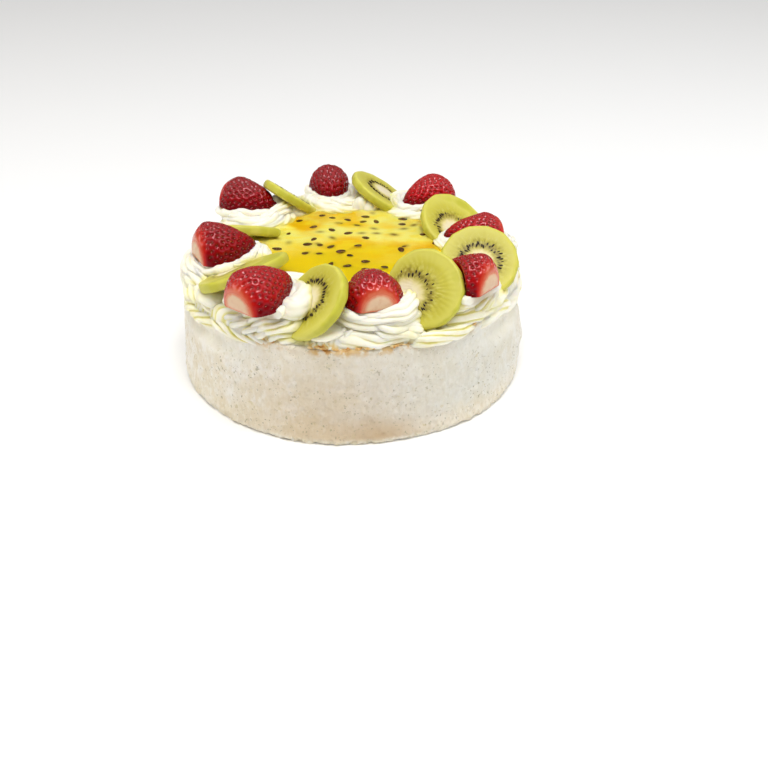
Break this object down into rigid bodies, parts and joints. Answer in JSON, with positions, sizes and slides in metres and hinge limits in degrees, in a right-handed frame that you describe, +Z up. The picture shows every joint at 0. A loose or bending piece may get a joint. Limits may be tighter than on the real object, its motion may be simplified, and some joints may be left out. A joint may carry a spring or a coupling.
{
  "type": "pavlova cake",
  "caption": "Round whole pavlova: meringue drum topped with piped cream rosettes, halved strawberries, kiwi slices and a pool of passionfruit topping.",
  "frame": {"origin": "on the underside, below the middle of the cake's box", "axes": "+Z up; -Y the front; +X to the right seen from the front"},
  "size_m": [0.2193, 0.2182, 0.1063],
  "materials": {
    "meringue": "matt, crisp and slightly pitted baked meringue, off-white with beige toasted specks",
    "cream": "soft satin whipped cream",
    "passionfruit": "wet glossy translucent yellow fruit topping with dark seeds",
    "strawberry": "glossy dimpled red skin with pale cut hull end",
    "kiwi": "moist translucent yellow-green flesh with pale core and black seeds"
  },
  "bodies": {
    "root": {"meringue_base": "meringue", "cream_layer": "cream", "passionfruit_topping": "passionfruit", "rosette_1": "cream", "rosette_2": "cream", "rosette_3": "cream", "rosette_4": "cream", "rosette_5": "cream", "rosette_6": "cream", "rosette_7": "cream", "rosette_8": "cream", "strawberry_1": "strawberry", "strawberry_2": "strawberry", "strawberry_3": "strawberry", "strawberry_4": "strawberry", "strawberry_5": "strawberry", "strawberry_6": "strawberry", "strawberry_7": "strawberry", "strawberry_8": "strawberry", "kiwi_1": "kiwi", "kiwi_2": "kiwi", "kiwi_3": "kiwi", "kiwi_4": "kiwi", "kiwi_5": "kiwi", "kiwi_6": "kiwi", "kiwi_7": "kiwi", "kiwi_8": "kiwi"}
  },
  "joints": []
}
